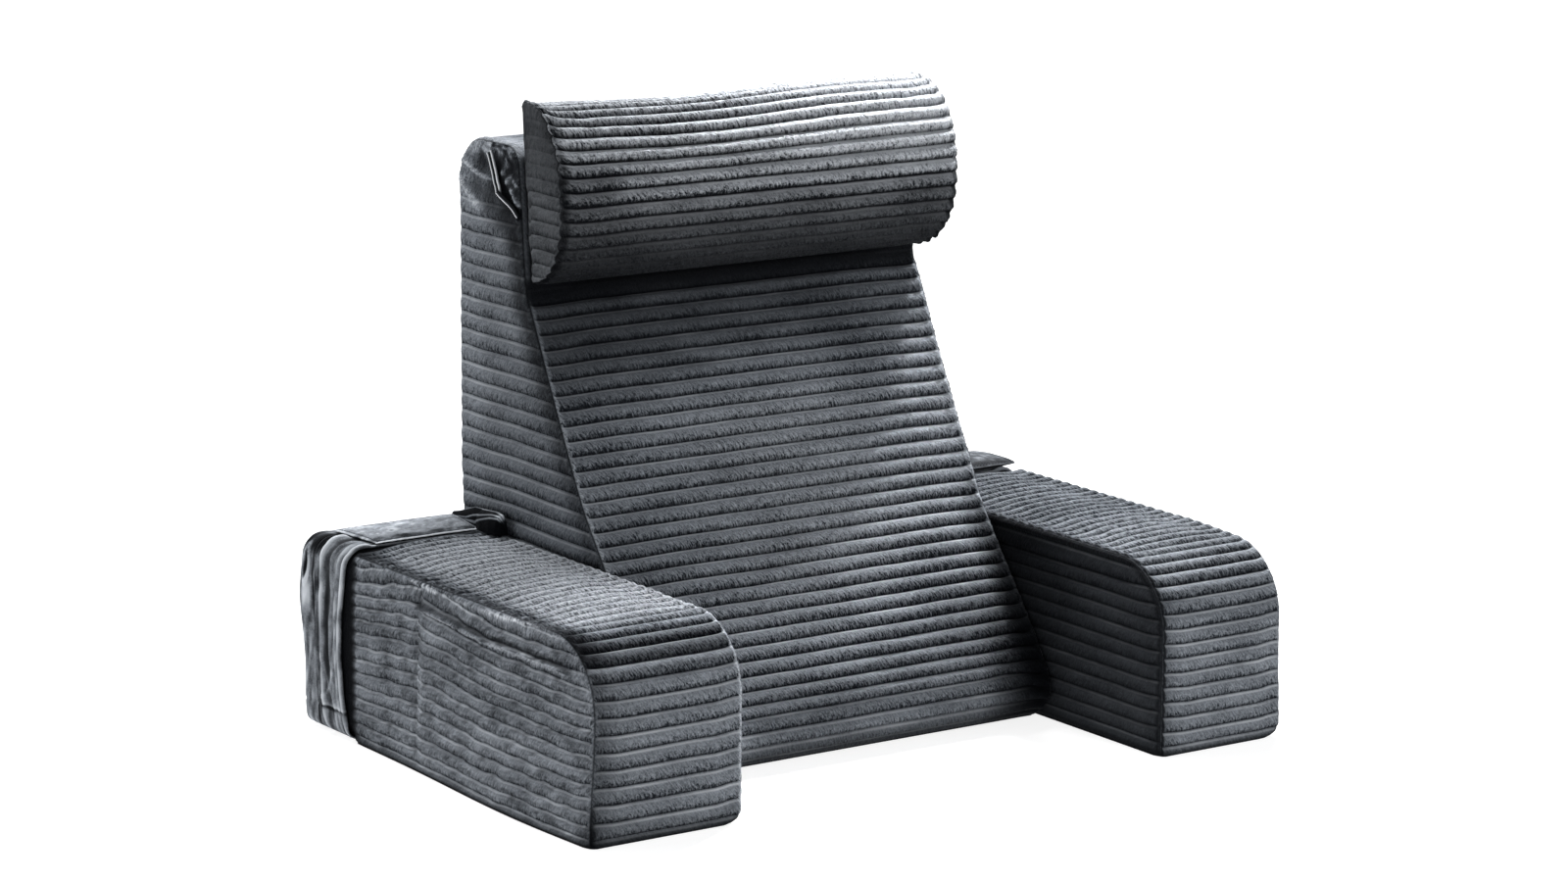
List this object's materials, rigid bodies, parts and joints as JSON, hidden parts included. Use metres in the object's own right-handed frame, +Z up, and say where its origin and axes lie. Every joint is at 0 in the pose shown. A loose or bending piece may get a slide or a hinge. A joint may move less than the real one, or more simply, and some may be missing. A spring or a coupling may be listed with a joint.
{
  "type": "reading pillow with arms and neck roll",
  "caption": "Wide-ribbed plush reading pillow: a backrest wedge with box arms strapped to its sides and a half-round neck roll tied to its top.",
  "frame": {"origin": "middle of the footprint, on the floor under the pillow", "axes": "+Z up, -Y is the front that the sitter leans on, +X is to the right as seen from the front"},
  "size_m": [0.8248, 0.602, 0.6594],
  "materials": {
    "plush": "wide-ribbed charcoal plush, brushed pile",
    "velvet": "short smooth charcoal velvet",
    "webbing": "narrow woven webbing"
  },
  "bodies": {
    "root": {"back_wedge": "plush", "arm_left": "plush", "arm_right": "plush", "neck_roll": "plush", "arm_band_left": "velvet", "arm_band_right": "velvet", "arm_flap_left": "velvet", "arm_flap_right": "velvet", "neck_strap_left": "webbing", "neck_strap_right": "webbing", "neck_tab_left": "webbing", "neck_tab_right": "webbing"}
  },
  "joints": []
}
